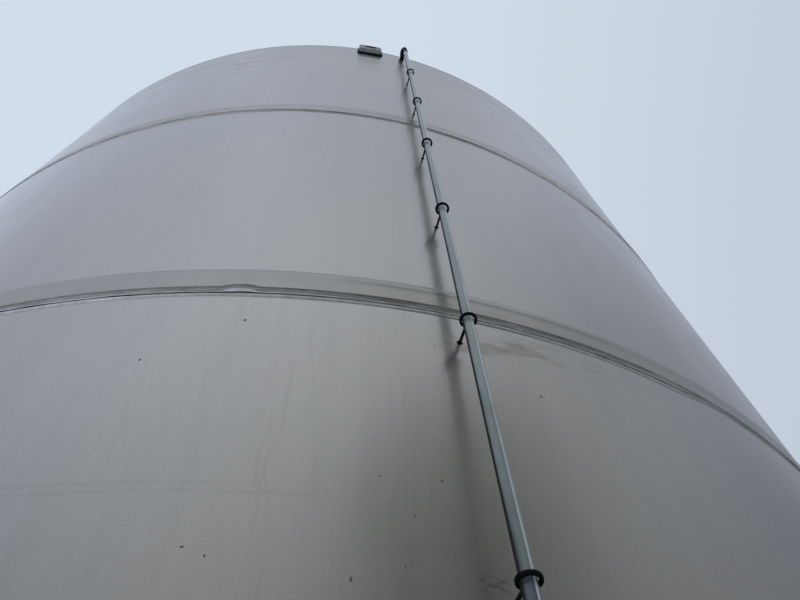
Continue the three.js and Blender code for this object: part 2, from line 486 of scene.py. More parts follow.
def band_material(name, low, high, streak, roughness, lined=False):
    """Steel strip between two close colours, brushed along its length; lined on the joint bands."""
    g = shell_graph(name)
    brush = g.noise(2.6, 4.0, 0.6, 9.0)
    cloud = g.noise(1.4, 3.0, 0.6)
    runs = g.noise(9.0, 3.0, 0.6, 0.08)
    grain = g.noise(150.0, 3.0, 0.7, 0.6)
    tone = g.total(g.vary(brush, 1.0, streak), g.step(runs, 0.35, 0.65, -streak / 2, streak / 2),
                   g.vary(grain, 0.0, 0.04))
    if lined:
        tone = g.times(g.less(tone, band_lines(g)), at_highest(g, 1.05))
    colour = g.shaded(g.mix(g.step(cloud, 0.35, 0.65), low, high), tone)
    relief = g.total(brush, g.times(g.noise(60.0, 3.0), 0.4))
    return steel_surface(g, colour, g.vary(brush, roughness, 0.05), relief)


def grime_material():
    """Dull old sealant along the joint's lower edge."""
    g = shell_graph("seam_grime")
    mottle = g.noise(14.0, 4.0, 0.65, 3.0)
    layers = g.noise(14.0, at=g.stretched((0.3, 0.3, 5.0)))
    colour = g.mix(g.step(mottle, 0.3, 0.7), rgb(0.265, 0.25, 0.23), rgb(0.37, 0.35, 0.325))
    colour = g.shaded(colour, g.vary(g.noise(1.1), 0.99, 0.11), g.step(layers, 0.35, 0.65, 0.85, 1.15),
                      # Painted light: paler just under the band's edge, where the shade of its lower lip
                      # falls
                      g.step(from_joint(g), -0.128, -0.098, 0.95, 1.15),
                      g.step(g.arc_length, arc(-20.0), arc(-2.0), 1.72, 1.0),
                      g.step(g.arc_length, arc(6.0), arc(18.0), 1.0, 1.50),
                      at_highest(g, 1.25), faded(g, 1.4))
    return g.surface(Base_Color=colour, Metallic=0.0, Roughness=0.6, Specular_IOR_Level=0.3,
                     Normal=g.bump(mottle, 0.5, 0.0008))


def crack_material():
    """The dark line between the two beads, paler at the highest joint, with black stretches of painted
    shade for deep voids.
    """
    g = shell_graph("seam_crack")
    mottle = g.noise(11.0, 4.0, 0.65, 3.0)
    colour = g.mix(g.step(mottle, 0.3, 0.7), rgb(0.13, 0.122, 0.113), rgb(0.29, 0.275, 0.255))
    colour = g.shaded(colour, at_highest(g, 1.25), faded(g, 2.6))
    # Painted shade: near-black stretches standing for deep voids in the line
    void_shade = g.most(*(g.near(g.arc_length, arc(angle), arc(half) * 0.8, arc(half) * 0.4)
                     for angle, half in VOID_SHADE_SPOTS))
    void_shade = g.times(void_shade, g.near(g.height, *VOID_SHADE_LEVEL))
    void_shade = g.times(void_shade, g.step(g.noise(9.0), 0.40, 0.50))
    return g.surface(Base_Color=g.mix(void_shade, colour, grey(0.010)), Roughness=0.65, Specular_IOR_Level=0.25,
                     Normal=g.bump(mottle, 0.5, 0.0008))


def bead_material():
    """Pale beads pressed out of the joint."""
    g = shell_graph("seam_bead")
    field = g.noise(22.0, 4.0, 0.65, 0.5)
    colour = g.mix(g.step(field, 0.3, 0.7), rgb(0.48, 0.455, 0.43), rgb(0.66, 0.63, 0.60))
    colour = g.shaded(colour, g.step(g.arc_length, arc(-20.0), arc(-8.0), 1.32, 0.88))
    return g.surface(Base_Color=colour, Metallic=0.75, Roughness=0.36, IOR=1.5,
                     Normal=g.bump(field, 0.5, 0.0008))


# Floor, pipe, fitting and cowl finishes

def floor_material():
    """Plain dull steel with a fine grain."""
    g = finish_graph("floor_steel")
    field = g.noise(30.0, 4.0, 0.6)
    broad = g.noise(30.0 / 9)
    mottle = g.total(g.times(field, 0.6), g.times(broad, 0.4))
    colour = g.mix(mottle, rgb(0.30, 0.29, 0.28), rgb(0.38, 0.37, 0.35))
    return g.surface(Base_Color=colour, Metallic=0.9, Roughness=g.vary(field, 0.4, 0.05), IOR=1.5,
                     Normal=g.bump(field, 0.4, 0.0003))


PIPE_DARK, PIPE_PALE = rgb(0.365, 0.412, 0.375), rgb(0.455, 0.507, 0.460)
PIPE_FOOT_TINT = rgb(0.165, 0.185, 0.200)
PIPE_JOIN = 2.72
# Tint of the painted highlight on the pipe's front, and the way that pale line faces
HIGHLIGHT_TINT = rgb(0.86, 0.88, 0.86)
HIGHLIGHT_SIDE = (0.259, -0.966, 0.0)
# Facing of the painted shade on the pipe's left side, low down
SHADED_LEFT_SIDE = (-0.877, 0.48, 0.0)
# Facing of the painted light that makes the pipe's back paler
LIT_REAR_SIDE = (0.0, 1.0, 0.0)


def pipe_material():
    """Glossy grey plastic, faintly streaked down its length, with a painted highlight: a thin pale line on
    its front.

    It is darker near the ground, with painted shade on its left side low down and painted light on its
    back, and has another tint below PIPE_JOIN.
    """
    g = finish_graph("pipe_plastic")
    streak = g.noise(140.0, 3.0, 0.6, 0.02)
    cloud = g.noise(6.0, 3.0, 0.6, 0.3)
    blotch = g.noise(16.0, 3.0, 0.6, 0.5)
    height = g.axes()[2]
    tone = g.total(g.vary(cloud, 1.0, 0.08), g.step(blotch, 0.35, 0.65, -0.06, 0.06))
    # Painted shade: up to 60% darker on the pipe's left side below about 3 m
    low = g.step(height, 2.80, 3.10, 1.0, 0.0)
    left_shade = g.times(g.step(g.facing(SHADED_LEFT_SIDE), 0.10, 0.75, 0.0, 0.60), low)
    colour = g.mix(g.step(streak, 0.3, 0.7), PIPE_DARK, PIPE_PALE)
    colour = g.shaded(colour, tone, g.step(height, 2.6, 3.9, 0.68, 1.0), g.less(1.0, left_shade),
                      # Painted light: the pipe's back up to 2.3 times paler
                      g.step(g.facing(LIT_REAR_SIDE), 0.0, 0.5, 1.0, 2.3))
    colour = g.mix(g.step(height, PIPE_JOIN - 0.02, PIPE_JOIN + 0.02, 1.0, 0.0), colour, PIPE_FOOT_TINT)
    # Painted highlight: a thin pale line where the surface faces the front
    highlight = g.times(g.step(g.facing(HIGHLIGHT_SIDE), 0.975, 0.990), g.step(blotch, 0.3, 0.6, 0.6, 1.0))
    colour = g.mix(g.times(highlight, 0.9), colour, HIGHLIGHT_TINT)
    return g.surface(Base_Color=colour, Roughness=g.vary(cloud, 0.125, 0.025), IOR=1.55,
                     Normal=g.bump(streak, 0.2, 0.0002))


def black_material(name, low, high, roughness, level):
    """Black rubber, plastic or steel with a fine grain; level sets its gloss."""
    g = finish_graph(name)
    field = g.noise(45.0, 4.0, 0.6)
    return g.surface(Base_Color=g.mix(field, low, high), Roughness=g.vary(field, roughness, 0.05),
                     Specular_IOR_Level=level, Normal=g.bump(field, 0.4, 0.0002))


def cowl_material():
    """Mottled grey plastic, darker towards the top with painted shade."""
    g = finish_graph("cowl_plastic")
    field = g.noise(30.0, 4.0, 0.6)
    foot = node_low("vent_cowl").z
    colour = g.mix(g.step(field, 0.3, 0.7), rgb(0.50, 0.495, 0.48), rgb(0.70, 0.69, 0.67))
    # Painted shade: the colour drops to 0.55 from just above the foot upwards
    colour = g.shaded(colour, g.step(g.axes()[2], foot + 0.02, foot + 0.10, 1.0, 0.55))
    return g.surface(Base_Color=colour, Roughness=0.45, Specular_IOR_Level=0.4,
                     Normal=g.bump(field, 0.4, 0.0003))


BAND_DARK, BAND_PALE = rgb(0.425, 0.395, 0.355), rgb(0.465, 0.43, 0.39)
COUPLING_DARK, COUPLING_PALE = rgb(0.012, 0.012, 0.013), rgb(0.022, 0.022, 0.023)

shell_finish = shell_material()
band_finish = band_material("band_steel", BAND_DARK, BAND_PALE, 0.03, 0.31, lined=True)
rim_finish = band_material("rim_steel", rgb(0.53, 0.495, 0.455), rgb(0.515, 0.485, 0.455), 0.02, 0.27)
roof_finish = band_material("roof_steel", rgb(0.50, 0.47, 0.43), rgb(0.48, 0.46, 0.43), 0.03, 0.33)
grime_finish = grime_material()
crack_finish = crack_material()
bead_finish = bead_material()
floor_finish = floor_material()
pipe_finish = pipe_material()
fitting_finish = black_material("fitting_plastic", grey(0.004), grey(0.009), 0.65, 0.15)
coupling_finish = black_material("coupling_plastic", COUPLING_DARK, COUPLING_PALE, 0.42, 0.5)
clamp_finish = black_material("clamp_rubber", grey(0.003), grey(0.007), 0.65, 0.10)
cable_finish = black_material("cable_rubber", grey(0.014), rgb(0.026, 0.026, 0.025), 0.55, 0.3)
steel_finish = black_material("bracket_steel", grey(0.006), rgb(0.016, 0.015, 0.014), 0.55, 0.20)
flange_finish = black_material("flange_rubber", grey(0.004), grey(0.009), 0.65, 0.2)
cowl_finish = cowl_material()
# Black lining of the cowl's arch recess: painted shade for the dark inside the vent opening
opening_shade_finish = black_material("cowl_opening_shade", grey(0.006), grey(0.012), 0.65, 0.2)


# Wall courses: one round shell each, standing for its four segments

WALL_SEGMENTS = 540
WALL_ROWS = 44
SWELL = 1.4 * MM
RIPPLE = 0.35 * MM


def wall_warp(turn, index, radius, height):
    """The sheet's slow swell and finer ripple."""
    spot = shell_point(turn, RADIUS, height)
    swell = noise.noise(spot * 0.55)
    ripple = noise.noise(spot * 1.9 + Vector((7, 3, 1)))
    return radius + SWELL * swell + RIPPLE * ripple - SWELL, height


def wall_course(number, low, high):
    outer = [(RADIUS, low + (high - low) * row / WALL_ROWS) for row in range(WALL_ROWS + 1)]
    inner = [(RADIUS - WALL_THICKNESS, high), (RADIUS - WALL_THICKNESS, low)]
    ring = turned(f"wall_course_{number}", outer + inner, WALL_SEGMENTS, [shell_finish], wall_warp)
    place(ring, "shell_steel", *(f"wall_course_{number}_{side}" for side in SIDES))


levels = COURSE_LEVELS + [RIM_LEVEL]
for number in (1, 2, 3, 4):
    wall_course(number, levels[number - 1], levels[number])


# Joint bands: a cover strip, and below its edge a strip of old sealant with two pale beads

BAND_SEGMENTS = 1080
BAND, GRIME, BEAD, CRACK = 0, 1, 2, 3
BAND_FINISHES = [band_finish, grime_finish, bead_finish, crack_finish]
BULGE_ANGLE = -12.0
BULGE_HALF = 1.15
BULGE_FLAT = 0.4
BULGE_LIFT = 21 * MM
BULGE_PROUD = 3 * MM

# The band's upper edge from the back out: how far it stands proud and its depth below the top, in mm
BAND_TOP = ((-3, 0), (0.5, 1), (5, 7), (8, 16))
BAND_PARTS = (0.75, 0.5, 0.25)

# From the band's lower edge down: depth below it, how far it stands proud, and the finish that follows
SEAM_STEPS = (
    (0, 8.0, GRIME), (4, 1.2, GRIME), (37, 1.2, GRIME), (41, 4.5, BEAD), (50, 4.5, CRACK),
    (53, 0.8, CRACK), (58, 0.8, BEAD), (61, 3.0, BEAD), (72, 2.6, BEAD), (77, 1.5, BEAD), (86, -1.0, BAND),
)
BEAD_STEPS = (3, 4, 7, 8)
LIFTED_STEPS = (0, 1, 2, 3)
PROUD_STEPS = (3, 4)

# The strip's width at each joint, and the angles where it thins and where it is back to its width
SEAM_SHARES = (1.0, 1.0, 0.66)
THIN_SHARE = 0.42
THIN_FROM, THIN_TO = 15.0, 20.0
BACK_FROM, BACK_TO = 150.0, 170.0


def seam_profile(low, high):
    """The cut through a band and the strip below it, with the finish of each face."""
    points = [(RADIUS + proud * MM, high - depth * MM) for proud, depth in BAND_TOP]
    back, face = points[0][0], points[-1][0]
    points += [(face, low + (high - low) * part) for part in BAND_PARTS]
    finishes = [BAND] * len(points)
    points += [(RADIUS + proud * MM, low - depth * MM) for depth, proud, below in SEAM_STEPS]
    finishes += [below for depth, proud, below in SEAM_STEPS]
    points.append((back, low - SEAM_STEPS[-1][0] * MM))
    finishes.append(BAND)
    return points, finishes


def seam_warp(seed, edge, share, bulged):
    """Lets the edges wander a little and the beads swell and thin; one stretch bulges.

    The strip below the band's edge is share of its full width, and narrower to the pipe's right.
    """
    first = len(BAND_TOP) + len(BAND_PARTS)

    def warp(turn, index, radius, height):
        spot = shell_point(turn, RADIUS, seed * 7.3)
        wave = noise.noise(spot * 0.8) * 2.0 * MM + noise.noise(spot * 3.1) * 0.6 * MM
        top_wave = noise.noise(spot * 0.5 + Vector((0, 0, 3))) * 3 * MM
        degrees = (math.degrees(turn) + 180) % 360 - 180
        thin = ease(THIN_FROM, THIN_TO, degrees) * ease(BACK_TO, BACK_FROM, degrees)
        if index >= first:
            height = edge + (height - edge) * share * (1 - (1 - THIN_SHARE) * thin)
        height += top_wave if index < len(BAND_TOP) - 1 else wave
        step = index - first
        if step < 0 or step >= len(SEAM_STEPS):
            return radius, height
        if step in BEAD_STEPS:
            broad = noise.noise(spot * 5.0 + Vector((step // 4, 0, 0)))
            lump = 0.9 + 0.35 * broad + 0.2 * noise.noise(spot * 16.0)
            proud = SEAM_STEPS[step][1] * (1 - 0.7 * thin)
            radius = RADIUS + proud * MM * max(0.5, min(1.2, lump))
        if step > 2:
            height += noise.noise(spot * 2.3 + Vector((0, 5, step // 3))) * 1.6 * MM
        if bulged:
            close = ease(BULGE_HALF, BULGE_FLAT, abs(degrees - BULGE_ANGLE))
            if step in LIFTED_STEPS:
                height += close * BULGE_LIFT
            if step in PROUD_STEPS:
                radius += close * BULGE_PROUD
        return radius, height
    return warp


for number, joint in enumerate(JOINT_LEVELS, start=1):
    low = joint - BAND_HEIGHT / 2
    points, finishes = seam_profile(low, low + BAND_HEIGHT)
    warp = seam_warp(number, low, SEAM_SHARES[number - 1], number == 2)
    band = turned(f"joint_band_{number}_strip", points, BAND_SEGMENTS, BAND_FINISHES, warp,
                  smooth_angle=35, row_materials=finishes)
    place(band, "band_steel", f"joint_band_{number}")


# Rim band

RIM_LOW = node_low("rim_band").z
RIM_TOP = RIM_LEVEL - 1 * MM
RIM_BACK = RADIUS - 4 * MM
RIM_PROUD = RADIUS + 4 * MM
RIM_ROWS = (90 * MM, 200 * MM, 400 * MM)

rim_profile = [(RIM_BACK, RIM_LOW), (RIM_BACK + 1 * MM, RIM_LOW)]
rim_profile += [(RIM_PROUD, RIM_LOW + row) for row in RIM_ROWS]
rim_profile += [(RIM_PROUD, RIM_TOP), (RADIUS - 1.5 * MM, RIM_TOP)]
rim_band = turned("rim_band_strip", rim_profile, WALL_SEGMENTS, [rim_finish], smooth_angle=60)
place(rim_band, "band_steel", "rim_band")


# Roof

ROOF_TOP = node_high("roof_dome").z
ROOF_THICKNESS = 6 * MM
ROOF_OVERHANG = 6 * MM
ROOF_RINGS = 26
ROOF_SEGMENTS = 360


def roof_profile():
    """The cut through half the dome: up its underside, round its edge and back over its top."""
    inner = RADIUS - WALL_THICKNESS
    edge = RADIUS + ROOF_OVERHANG
    rise = ROOF_TOP - ROOF_THICKNESS - RIM_LEVEL
    sphere = (inner ** 2 + rise ** 2) / (2 * rise)

    def level(radius):
        return RIM_LEVEL + rise - sphere + math.sqrt(sphere ** 2 - radius ** 2)

    radii = [inner * ring / ROOF_RINGS for ring in range(1, ROOF_RINGS + 1)]
    under = [(radius, level(radius)) for radius in radii]
    lip = [(edge - 2 * MM, RIM_LEVEL), (edge, RIM_LEVEL + 2 * MM), (edge, RIM_LEVEL + 4 * MM),
           (edge - 2 * MM, RIM_LEVEL + ROOF_THICKNESS)]
    over = [(radius, level(radius) + ROOF_THICKNESS) for radius in reversed(radii)]
    return under + lip + over


def roof():
    """The dome, closed over the axis, with a rounded edge on the wall's top."""
    profile = roof_profile()
    vertices = [shell_point(turn, radius, z) for radius, z in profile for turn in turns(ROOF_SEGMENTS)]
    faces = ring_faces(len(profile), ROOF_SEGMENTS)
    last = (len(profile) - 1) * ROOF_SEGMENTS
    pole = len(vertices)
    vertices += [(0, 0, ROOF_TOP - ROOF_THICKNESS), (0, 0, ROOF_TOP)]
    for step in range(ROOF_SEGMENTS):
        ahead = (step + 1) % ROOF_SEGMENTS
        faces += [(ahead, step, pole), (last + step, last + ahead, pole + 1)]
    return new_object("roof_dome_shell", vertices, faces, [roof_finish])


place(roof(), "roof_steel", "roof_dome")


# Pipe, cable, elbow, collar and end coupling

def tube_parts(path, radii, sides):
    """Vertices and faces of a capped tube along a path, with a radius at each point."""
    vertices = []
    last = len(path) - 1
    for index, point in enumerate(path):
        direction = (path[min(last, index + 1)] - path[max(0, index - 1)]).normalized()
        across = (Vector((1, 0, 0)) - direction * direction.x).normalized()
        other = direction.cross(across)
        for turn in turns(sides):
            vertices.append(point + (across * math.cos(turn) + other * math.sin(turn)) * radii[index])
    caps = [tuple(reversed(range(sides))), tuple(range(last * sides, (last + 1) * sides))]
    return vertices, ring_faces(len(path), sides) + caps


def straight(start, end, shape, size):
    """Points along a line and their radii, from a shape of (share of its length, share of size)."""
    return [start.lerp(end, share) for share, width in shape], [size * width for share, width in shape]


def tube(name, path, radii, sides, material, smooth_angle=40):
    vertices, faces = tube_parts(path, radii, sides)
    return new_object(name, vertices, faces, [material], smooth_angle=smooth_angle)


PIPE_SHIFT = Vector((-3 * MM, 0, 0))
PIPE_RISE = 175 * MM
PIPE_PARTS = 40
PIPE_SIDES = 48
PIPE_LEAN = (PIPE_TOP - PIPE_FOOT) / (PIPE_TOP.z - PIPE_FOOT.z)
pipe_end = PIPE_TOP + PIPE_LEAN * PIPE_RISE + PIPE_SHIFT
pipe_path = [(PIPE_FOOT + PIPE_SHIFT).lerp(pipe_end, part / PIPE_PARTS) for part in range(PIPE_PARTS + 1)]
pipe = tube("upright_pipe_run", pipe_path, [PIPE_RADIUS] * len(pipe_path), PIPE_SIDES, pipe_finish)
place(pipe, "pipe_plastic", "upright_pipe")

CABLE_PARTS = 160
CABLE_SIDES = 12
CABLE_WANDER = 1.2 * MM
CABLE_SLIM = 0.8


def side_cable():
    """The cable down the pipe's side, wandering slightly between the rings."""
    path = []
    for part in range(CABLE_PARTS + 1):
        spot = CABLE_FOOT.lerp(CABLE_TOP, part / CABLE_PARTS)
        sway = noise.noise(Vector((3.0, 1.0, spot.z * 1.3))) * CABLE_WANDER
        path.append(spot + PIPE_SHIFT + Vector((CABLE_RADIUS * (1 - CABLE_SLIM) - abs(sway), sway, 0)))
    radii = [CABLE_RADIUS * CABLE_SLIM] * len(path)
    return tube("pipe_side_cable_run", path, radii, CABLE_SIDES, cable_finish)


place(side_cable(), "clamp_rubber", "pipe_side_cable")

FITTING_SIDES = 40
COUPLING_SHAPE = ((0.0, 0.80), (0.04, 0.90), (0.08, 0.94), (0.30, 0.94), (0.31, 1.0), (0.62, 1.0),
                  (0.63, 0.94), (0.94, 0.94), (0.97, 0.91), (1.0, 0.80))
coupling_low, coupling_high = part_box("pipe_end_coupling")
coupling_start = Vector((PIPE_FOOT.x, PIPE_FOOT.y, coupling_low.z))
coupling_end = Vector((PIPE_FOOT.x, PIPE_FOOT.y, coupling_high.z))
coupling_radius = (coupling_high.x - coupling_low.x) / 2
coupling_run = straight(coupling_start, coupling_end, COUPLING_SHAPE, coupling_radius)
coupling = tube("pipe_end_coupling_body", *coupling_run, FITTING_SIDES, coupling_finish, 30)
place(coupling, "fitting_plastic", "pipe_end_coupling")

COLLAR_SHAPE = ((0.0, 1.0), (0.35, 1.0), (0.6, 0.96), (0.85, 0.86), (1.0, 0.78))
collar_low, collar_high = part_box("pipe_collar")
COLLAR_X = (collar_low.x + collar_high.x) / 2
LEG_LEVEL = (collar_low.z + collar_high.z) / 2
ELBOW_RADIUS = 30 * MM
ELBOW_SLIM = 0.96
ELBOW_STRAIGHT = 95 * MM
SOCKET_SHAPE = ((0, 0.97), (0.03, 1), (0.25, 1), (0.27, ELBOW_SLIM), (0.6, ELBOW_SLIM), (1, ELBOW_SLIM))

# The bend leaves the socket along BEND_RISE and comes down from BEND_FALL to BEND_FOOT, measured from
# the leg's end. From there it goes on along TURN_DOWN and reaches the leg's end from TURN_IN.
BEND_RISE = Vector((-15, 0, 100)) * MM
BEND_FALL = Vector((-12, -16, 120)) * MM
BEND_FOOT = Vector((0, -40, 62)) * MM
TURN_DOWN = Vector((0, 5, -38)) * MM
TURN_IN = Vector((0, -25, 0)) * MM
BEND_STEPS, TURN_STEPS = 20, 10


def cubic(a, b, c, d, steps):
    """Points along a cubic curve, without its first."""
    points = []
    for step in range(1, steps + 1):
        t = step / steps
        points.append(a * (1 - t) ** 3 + b * 3 * t * (1 - t) ** 2 + c * 3 * t ** 2 * (1 - t) + d * t ** 3)
    return points


def elbow():
    """A socket over the pipe's top that turns over and down, and then into the collar."""
    socket = pipe_end + PIPE_LEAN * SEAT_GAP
    start = pipe_end + PIPE_LEAN * (LEG_LEVEL + ELBOW_STRAIGHT - pipe_end.z)
    leg_end = Vector((COLLAR_X, node_high("top_elbow").y, LEG_LEVEL))
    drop = leg_end + BEND_FOOT
    path, radii = straight(socket, start, SOCKET_SHAPE, ELBOW_RADIUS)
    path += cubic(start, start + BEND_RISE, drop + BEND_FALL, drop, BEND_STEPS)
    path += cubic(drop, drop + TURN_DOWN, leg_end + TURN_IN, leg_end, TURN_STEPS)
    radii += [ELBOW_RADIUS * ELBOW_SLIM] * (BEND_STEPS + TURN_STEPS)
    return tube("top_elbow_bend", path, radii, FITTING_SIDES, fitting_finish, 50)


place(elbow(), "fitting_plastic", "top_elbow")

collar_start = Vector((COLLAR_X, collar_high.y, LEG_LEVEL))
collar_end = Vector((COLLAR_X, collar_low.y, LEG_LEVEL))
collar_run = straight(collar_start, collar_end, COLLAR_SHAPE, (collar_high.x - collar_low.x) / 2)
collar = tube("pipe_collar_disc", *collar_run, FITTING_SIDES, fitting_finish, 30)
place(collar, "fitting_plastic", "pipe_collar")


# Clamps and bracket rods

RING_HOLE = 31 * MM
RING_GROWTH = 3 * MM
FIRST_GROWN = 4
RING_ROUND = 4.5 * MM
RING_SEGMENTS = 64
RING_CORNER_STEPS = 4
ROD_RADIUS = 7.5 * MM
THREAD_TURNS = 30
THREAD_DEPTH = 0.35 * MM

# Shapes on the rod: share of the length, and radius in mm, or for the foot in its own radius
NECK_SHAPE = ((0, 6.5), (0.5, 8.4), (0.9, 8.5), (1, 7.8))
FOOT_SHAPE = ((0, 0.84), (0.3, 0.96), (0.7, 1), (1, 1))
CONE_SHAPE = ((0, 7.8), (0.5, 9.2), (1, 12.5))


def corner_arc(centre_a, centre_b, radius, start, steps=6):
    """Points of a quarter turn from a start angle in degrees."""
    angles = [math.radians(start + 90 * step / steps) for step in range(steps + 1)]
    return [(centre_a + radius * math.cos(angle), centre_b + radius * math.sin(angle)) for angle in angles]


def rounded_rectangle(centre, width, height, corner, steps=6):
    """The outline of a rectangle with round corners, its middle at (centre, 0)."""
    a, b = width / 2 - corner, height / 2 - corner
    outline = []
    for across, up, start in ((1, -1, -90), (1, 1, 0), (-1, 1, 90), (-1, -1, 180)):
        outline += corner_arc(centre + across * a, up * b, corner, start, steps)
    return outline


def clamp(number, middle, radius, height):
    """A black ring, loose round the pipe and its cable."""
    across = (radius + RING_HOLE) / 2
    section = rounded_rectangle(across, radius - RING_HOLE, height, RING_ROUND, RING_CORNER_STEPS)
    vertices = [middle + Vector((out * math.cos(turn), out * math.sin(turn), z))
                for out, z in section for turn in turns(RING_SEGMENTS)]
    faces = ring_faces(len(section), RING_SEGMENTS, closed=True)
    ring = new_object(f"pipe_clamp_{number}_ring", vertices, faces, [clamp_finish], smooth_angle=35)
    place(ring, "clamp_rubber", f"pipe_clamp_{number}")


def joined_rods(name, rods, materials):
    """Several rods as one mesh; each is start, end, shape, size, sides and material number."""
    vertices, faces, indices = [], [], []
    for start, end, shape, size, sides, material in rods:
        rod_vertices, rod_faces = tube_parts(*straight(start, end, shape, size), sides)
        faces += [tuple(len(vertices) + index for index in face) for face in rod_faces]
        vertices += rod_vertices
        indices += [material] * len(rod_faces)
    return new_object(name, vertices, faces, materials, indices, 35)


def bracket_rod(number, middle, ring_radius):
    """A threaded rod from the ring's back to a round foot on the wall."""
    low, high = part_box(f"bracket_rod_{number}")
    foot_radius = (high.z - low.z) / 2
    start = Vector((middle.x, middle.y + ring_radius - 2 * MM, middle.z))
    wall = Vector((middle.x, high.y, middle.z))
    inward = Vector((0, 1 * MM, 0))
    thread = []
    for turn in range(THREAD_TURNS):
        thread.append((turn / THREAD_TURNS, ROD_RADIUS - THREAD_DEPTH))
        thread.append(((turn + 0.5) / THREAD_TURNS, ROD_RADIUS))
    thread.append((1.0, ROD_RADIUS - THREAD_DEPTH))
    rods = ((start, wall, thread, 1, 16, 0),
            (start - inward, start + 9 * inward, NECK_SHAPE, MM, 20, 1),
            (wall - 5 * inward, wall, FOOT_SHAPE, foot_radius, 32, 1),
            (wall - 12 * inward, wall - 4.5 * inward, CONE_SHAPE, MM, 24, 1))
    stud = joined_rods(f"bracket_rod_{number}_stud", rods, [steel_finish, clamp_finish])
    place(stud, "bracket_steel", f"bracket_rod_{number}")


for number in range(1, CLAMP_COUNT + 1):
    low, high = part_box(f"pipe_clamp_{number}")
    middle = (low + high) / 2
    ring_radius = (high.x - low.x) / 2
    clamp(number, middle, ring_radius + (RING_GROWTH if number >= FIRST_GROWN else 0), high.z - low.z)
    bracket_rod(number, middle, ring_radius)


# Vent cowl and its flange

COWL_TURN = Matrix.Rotation(math.radians(-5), 4, "Z")
COWL_SHIFT = 8 * MM
COWL_WIDTH, COWL_DEPTH, COWL_HEIGHT = 314 * MM, 56 * MM, 197 * MM
COWL_CORNER = 34 * MM
FLANGE_WIDTH, FLANGE_DEPTH, FLANGE_HEIGHT = 344 * MM, 21 * MM, 248 * MM
FLANGE_CORNER = 18 * MM
FLANGE_DROP = 12 * MM
ARCH_HALF, ARCH_HEIGHT, ARCH_DEPTH = 77 * MM, 114 * MM, 36 * MM
ARCH_PLACE = Vector((4 * MM, 0, 66 * MM))
ARCH_SPRING = 0.45
CUTTER_MARGIN = 20 * MM
COWL_BEVEL, FLANGE_BEVEL = 5 * MM, 2 * MM
RIM_FACE = RIM_PROUD * math.cos(HALF_FACET)


def modify(obj, kind, **settings):
    """Applies one modifier to an object's mesh."""
    modifier = obj.modifiers.new(kind.title(), kind)
    for key, value in settings.items():
        setattr(modifier, key, value)
    depsgraph = bpy.context.evaluated_depsgraph_get()
    mesh = bpy.data.meshes.new_from_object(obj.evaluated_get(depsgraph))
    obj.modifiers.clear()
    obj.data = mesh


def prism(name, outline, low, high, materials, upright=False):
    """A plan of (x, y) points raised from low to high, or an upright one of (x, z) pushed along Y."""
    vertices = [(a, c, b) if upright else (a, b, c) for c in (low, high) for a, b in outline]
    count = len(outline)
    caps = [tuple(range(count)), tuple(reversed(range(count, 2 * count)))]
    return new_object(name, vertices, caps + ring_faces(2, count), materials)


def cowl_outline():
    """The cowl from above: square at the flange, rounded at its two outer corners."""
    half = COWL_WIDTH / 2
    across, out = half - COWL_CORNER, COWL_CORNER - COWL_DEPTH
    return ([(half, 0), (-half, 0)] + corner_arc(-across, out, COWL_CORNER, 180)
            + corner_arc(across, out, COWL_CORNER, -90))


def arch_outline(half, height):
    """A flat-footed arch with a round top, in width and height from its foot."""
    angles = [math.radians(angle) for angle in range(10, 180, 10)]
    spring = height * ARCH_SPRING
    crown = [(half * math.cos(a), spring + (height - spring) * math.sin(a)) for a in angles]
    return [(-half, 0), (half, 0), (half, spring)] + crown + [(-half, spring)]


def settle(obj, gap, level):
    """Moves a piece out to a gap from the rim's face, and up to its level."""
    obj.data.transform(Matrix.Translation((COWL_SHIFT, -RIM_FACE - gap, level)))


flange_level = (node_low("cowl_flange").z + node_high("cowl_flange").z) / 2 - FLANGE_DROP
flange_outline = rounded_rectangle(0, FLANGE_WIDTH, FLANGE_HEIGHT, FLANGE_CORNER)
flange = prism("cowl_flange_plate", flange_outline, -FLANGE_DEPTH, 0, [flange_finish], upright=True)
settle(flange, SEAT_GAP, flange_level)
modify(flange, "BEVEL", width=FLANGE_BEVEL, segments=2, limit_method="ANGLE")

cowl = prism("vent_cowl_shell", cowl_outline(), 0, COWL_HEIGHT, [cowl_finish, opening_shade_finish])
modify(cowl, "BEVEL", width=COWL_BEVEL, segments=3, limit_method="ANGLE", angle_limit=math.radians(50))
# The recess cut here takes the black lining: painted shade for the dark inside the vent opening
cutter = prism("cowl_cutter", arch_outline(ARCH_HALF, ARCH_HEIGHT), -COWL_DEPTH - CUTTER_MARGIN,
               ARCH_DEPTH - COWL_DEPTH, [opening_shade_finish], upright=True)
cutter.data.transform(Matrix.Translation(ARCH_PLACE))
modify(cowl, "BOOLEAN", object=cutter, operation="DIFFERENCE", solver="EXACT", material_mode="TRANSFER")
bpy.data.objects.remove(cutter)
settle(cowl, FLANGE_DEPTH + 2 * SEAT_GAP, node_low("vent_cowl").z)

for piece, slot, node in ((flange, "flange_rubber", "cowl_flange"), (cowl, "cowl_plastic", "vent_cowl")):
    piece.data.transform(COWL_TURN)
    shade(piece.data)
    place(piece, slot, node)

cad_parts["tank_floor"].data.materials.clear()
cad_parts["tank_floor"].data.materials.append(floor_finish)


# Stage: a pale floor and a dark drum that only the gloss sees

STAGE_HALF = 150
STAGE_LEVEL = -1 * MM


def stage_floor():
    g = finish_graph("stage_floor")
    colour = g.mix(g.noise(0.6, 3.0), rgb(0.44, 0.44, 0.43), rgb(0.48, 0.48, 0.47))
    g.surface(Base_Color=colour, Roughness=0.9)
    ends = ((-1, -1), (1, -1), (1, 1), (-1, 1))
    points = [(STAGE_HALF * x, STAGE_HALF * y, STAGE_LEVEL) for x, y in ends]
    new_object("stage_floor", points, [(0, 1, 2, 3)], [g.owner])


stage_floor()

